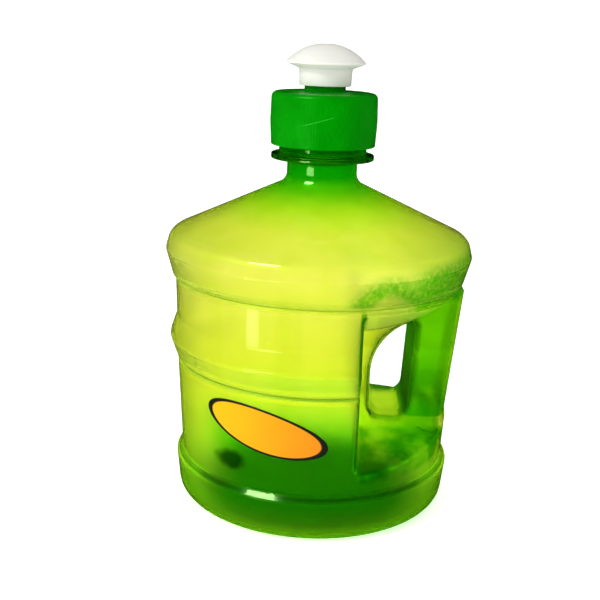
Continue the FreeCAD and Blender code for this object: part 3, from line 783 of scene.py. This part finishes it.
def makeCap(c):
    bm = bmesh.new()
    drawSection(bm, c["section"])
    cutRows(bm, spread(c["boreRows"]), lambda e: all(abs(v.co.x - c["bore"] * mm) < 1e-6 for v in e.verts))
    cutRows(bm, spread(c["skirtRows"]), lambda e: all(v.co.x > c["skirt"] * mm for v in e.verts))
    cutRings(bm, spread(c["rings"]))
    spinAround(bm, [(360, c["steps"])])
    ribs, thread = c["ribs"], c["thread"]
    low, high = ribs["span"]
    for vert in bm.verts:
        radius = math.hypot(vert.co.x, vert.co.y) / mm
        height = vert.co.z / mm
        angle = math.atan2(vert.co.y, vert.co.x) / (2 * math.pi) % 1.0
        if radius > ribs["from"] and low < height < high:
            ends = min(1, (height - low) / ribs["fade"]) * min(1, (high - height) / ribs["fade"])
            groove = 0.5 + 0.5 * math.cos(2 * math.pi * angle * ribs["count"])
            vert.co.xy *= 1 - ribs["depth"] * ends * groove / radius
        elif abs(radius - c["bore"]) < 0.01 and thread["span"][0] < height < thread["span"][1]:
            vert.co.xy *= 1 - threadLift(angle, height, thread) / radius
    return bm


def drillPorts(cap, p):
    bm = bmesh.new()
    for i in range(p["count"]):
        spot = Matrix.Translation((p["circle"] * mm, 0, p["height"] * mm))
        bmesh.ops.create_cone(bm, cap_ends=True, segments=p["sides"], radius1=p["radius"] * mm,
                              radius2=p["radius"] * mm, depth=p["depth"] * mm,
                              matrix=Matrix.Rotation(2 * math.pi * i / p["count"], 4, "Z") @ spot)
    mesh = bpy.data.meshes.new("portDrill")
    bm.to_mesh(mesh)
    bm.free()
    drill = bpy.data.objects.new("portDrill", mesh)
    scene.collection.objects.link(drill)
    cut = cap.modifiers.new("ports", "BOOLEAN")
    cut.operation = "DIFFERENCE"
    cut.solver = "EXACT"
    cut.object = drill
    drilled = bpy.data.meshes.new_from_object(cap.evaluated_get(bpy.context.evaluated_depsgraph_get()))
    cap.modifiers.clear()
    cap.data = drilled
    bpy.data.objects.remove(drill)


cap = addPiece("screwCapRibbed", makeCap(capShape), capPlastic, "cap", ["screw_cap"])
drillPorts(cap, capShape["ports"])
cap.data.set_sharp_from_angle(angle=math.radians(capShape["sharp"]))
print("cap turned and drilled:", len(cap.data.polygons), "faces")


# the push-pull spout, in mm
spoutShape = {
    "section": [(2.48, 182.7, 0), (4.0, 181.1, 0.6), (8.98, 177.1, 0.6), (8.98, 170.3, 0.2),
                (8.18, 170.3, 0.2), (8.18, 168.7, 0.3), (10.2, 168.7, 0.4), (10.5, 175.2, 0.9),
                (15.5, 177.1, 0.35), (15.5, 177.9, 0.35)],
    "crown": {"middle": 163.94, "radius": 20.86, "points": (13.2, 10.6, 8.0, 5.6), "round": 0.9},
    "mouth": {"radius": 2.48, "round": 0.3},
    "steps": 128,
}


def makeSpout(s):
    bm = bmesh.new()
    crown, mouth = s["crown"], s["mouth"]

    def onCrown(r):
        return crown["middle"] + math.sqrt(crown["radius"] ** 2 - r ** 2)

    corners = s["section"] + [(r, onCrown(r), crown["round"]) for r in crown["points"]] + \
        [(mouth["radius"], onCrown(mouth["radius"]), mouth["round"]), s["section"][0]]
    drawSection(bm, corners)
    bmesh.ops.remove_doubles(bm, verts=bm.verts[:], dist=1e-6)
    spinAround(bm, [(360, s["steps"])])
    return bm


addPiece("pushPullSpout", makeSpout(spoutShape), spoutPlastic, "spout", ["spout"])
print("spout turned")

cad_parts["cap_seal"].data.materials.clear()
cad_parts["cap_seal"].data.materials.append(sealFoam)


# the oval sticker, in mm and degrees; wall is the radius and height of the wall's two ends
stickerShape = {"length": 50.0, "height": 17.6, "fall": 12.3, "turn": 19.4, "middle": 44.3, "rings": 12,
                "steps": 96, "wall": (54.8, 19.4, 56.9, 58.6), "stand": 0.03, "thick": 0.15}
# its print: the ground from end to end, and the outline by distance from the middle, 0.5 at the edge
stickerPrint = {
    "ground": [(0.0, (0.86, 0.45, 0.004, 1)), (0.45, (0.82, 0.35, 0.006, 1)), (1.0, (0.76, 0.22, 0.010, 1))],
    "outline": [(0.0, (0, 0, 0, 1)), (0.448, (0, 0, 0, 1)), (0.456, (1, 1, 1, 1))],
    "ink": (0.012, 0.014, 0.010, 1),
    "grain": {"Color": (1, 1, 1, 1), "Shade": (0.94, 0.93, 0.92, 1), "Gloss": 0.30, "Grain Depth": 0.1},
    "gloss": {"IOR": 1.45, "Specular IOR Level": 0.06},
}


def makePrint(p):
    material, nodes = newMaterial("stickerPrint")
    flat = addNode(nodes, "ShaderNodeUVMap", uv_map="flat").outputs["UV"]
    along = addNode(nodes, "ShaderNodeSeparateXYZ", {0: flat}).outputs["X"]
    far = farFrom(nodes, flat, (0.5, 0.5, 0), (1, 1, 0))
    outline = addRamp(nodes, far, p["outline"])
    color = blend(nodes, addRamp(nodes, along, p["ground"]), outline, p["ink"], "MIX")
    grain = addGrain(nodes, p["grain"])
    addSurface(nodes, blend(nodes, color, 1.0, grain["Color"]), grain, p["gloss"])
    return material


def makeSticker(s):
    bm = bmesh.new()
    joinPoints(bm, [bm.verts.new((0.5 * i / s["rings"], 0, 0)) for i in range(s["rings"] + 1)])
    bmesh.ops.spin(bm, geom=bm.verts[:] + bm.edges[:], cent=(0, 0, 0), axis=(0, 0, 1), dvec=(0, 0, 0),
                   angle=2 * math.pi, steps=s["steps"], use_merge=True, use_duplicate=False)
    bmesh.ops.remove_doubles(bm, verts=bm.verts[:], dist=1e-6)
    bmesh.ops.recalc_face_normals(bm, faces=bm.faces[:])
    if bm.faces[0].normal.z < 0:
        bmesh.ops.reverse_faces(bm, faces=bm.faces[:])
    flat = bm.loops.layers.uv.new("flat")
    for face in bm.faces:
        for corner in face.loops:
            corner[flat].uv = (corner.vert.co.x + 0.5, corner.vert.co.y + 0.5)
    fall, lowR, lowZ, highR, highZ = math.radians(s["fall"]), *s["wall"]
    for vert in bm.verts:  # lay the flat oval round the wall
        long, high = vert.co.x * s["length"], vert.co.y * s["height"]
        across = long * math.cos(fall) + high * math.sin(fall)
        height = s["middle"] + (high * math.cos(fall) - long * math.sin(fall))
        radius = lowR + (highR - lowR) * (height - lowZ) / (highZ - lowZ) + s["stand"]
        angle = math.radians(-90 - s["turn"]) + math.asin(across / radius)
        vert.co = Vector((radius * math.cos(angle), radius * math.sin(angle), height)) * mm
    return bm


sticker = addPiece("ovalSticker", makeSticker(stickerShape), makePrint(stickerPrint), "jug",
                   ["label"])
film = sticker.modifiers.new("film", "SOLIDIFY")
film.thickness = stickerShape["thick"] * mm
film.offset = 1
print("sticker laid on")


# the floor and its curved back, in metres
stageShape = {"half": 5, "front": -5, "back": 1.4, "top": 2.6, "bend": 0.7, "bendSteps": 16}
stageFinish = {"noise": (6.0, 3.0), "tone": [(0.3, (0.90, 0.90, 0.89, 1)), (0.7, (0.93, 0.93, 0.92, 1))],
               "surface": {"Roughness": 0.6, "Specular IOR Level": 0.25, "Emission Color": (1, 1, 1, 1),
                           "Emission Strength": 0.52}}


def makeStage(s, finish):
    bm = bmesh.new()
    profile = ((s["front"], 0), (s["back"], 0), (s["back"], s["top"]))
    points = [bm.verts.new((-s["half"], y, z)) for y, z in profile]
    joinPoints(bm, points)
    bmesh.ops.bevel(bm, geom=[points[1]], offset=s["bend"], offset_type="OFFSET", segments=s["bendSteps"],
                    profile=0.5, affect="VERTICES", material=-1, clamp_overlap=False)
    drawn = bmesh.ops.extrude_edge_only(bm, edges=bm.edges[:])["geom"]
    far = [v for v in drawn if isinstance(v, bmesh.types.BMVert)]
    bmesh.ops.translate(bm, verts=far, vec=(2 * s["half"], 0, 0))
    bmesh.ops.recalc_face_normals(bm, faces=bm.faces[:])
    material, nodes = newMaterial("paleFloor")
    place = addNode(nodes, "ShaderNodeTexCoord").outputs["Object"]
    tone = addRamp(nodes, addNoise(nodes, place, *finish["noise"]), finish["tone"])
    shader = addNode(nodes, "ShaderNodeBsdfPrincipled", {"Base Color": tone, **finish["surface"]})
    addNode(nodes, "ShaderNodeOutputMaterial", {"Surface": shader.outputs[0]})
    floor = addPiece("paleFloor", bm, material)
    floor.visible_glossy = False


# a lamp is seen by everything, by matt surfaces alone, or as a glint alone; in metres and watts
lamps = {
    "overhead": {"place": (0.0, 0.4, 3.0), "aim": (0, 0, 0), "size": (2.5, 2.5), "power": 7.0,
                 "seen": "all"},
    "key": {"place": (-0.60, -0.56, 0.72), "aim": (0, 0, 0.09), "size": (0.30, 0.09), "power": 4.0,
            "seen": "matt"},
    "fill": {"place": (-0.7, -1.3, 0.3), "aim": (0, 0, 0.12), "size": (1.0, 1.0), "power": 6.0,
             "seen": "matt"},
    "glint": {"place": (-0.52, -0.47, 0.85), "aim": (0, 0, 0.09), "size": (0.42, 0.26), "power": 13.0,
              "seen": "glint"},
    "lowGlint": {"place": (-0.30, -0.39, 0.06), "aim": (0, 0, 0.07), "size": (0.22, 0.06), "power": 0.55,
                 "seen": "glint"},
    # lies on the floor and shines up
    "streak": {"place": (-0.225, -0.215, 0.001), "lie": 39, "size": (0.18, 0.05), "power": 0.22,
               "seen": "glint"},
}
worldLight = 0.62


def makeLamps(lamps):
    for name, l in lamps.items():
        data = bpy.data.lights.new(name + "Lamp", "AREA")
        data.shape = "ELLIPSE" if l["seen"] == "glint" else "RECTANGLE"
        data.size, data.size_y = l["size"]
        data.energy = l["power"]
        lamp = bpy.data.objects.new(name + "Lamp", data)
        scene.collection.objects.link(lamp)
        lamp.location = l["place"]
        if "lie" in l:
            lamp.rotation_euler = (math.pi, 0, math.radians(l["lie"]))
        else:
            lamp.rotation_euler = (Vector(l["aim"]) - Vector(l["place"])).to_track_quat("-Z", "Y").to_euler()
        lamp.visible_diffuse = l["seen"] != "glint"
        lamp.visible_glossy = l["seen"] != "matt"
        lamp.visible_transmission = lamp.visible_camera = l["seen"] == "all"


# the world lights the set, but only lamps and pieces show in the gloss
def makeWorld(strength):
    world = bpy.data.worlds.new("softRoom")
    scene.world = world
    world.use_nodes = True
    background = world.node_tree.nodes["Background"]
    background.inputs["Color"].default_value = (1, 1, 1, 1)
    background.inputs["Strength"].default_value = strength
    world.cycles_visibility.glossy = False


makeStage(stageShape, stageFinish)
makeLamps(lamps)
makeWorld(worldLight)
scene.view_settings.view_transform = "Standard"
print("stage and lamps set")
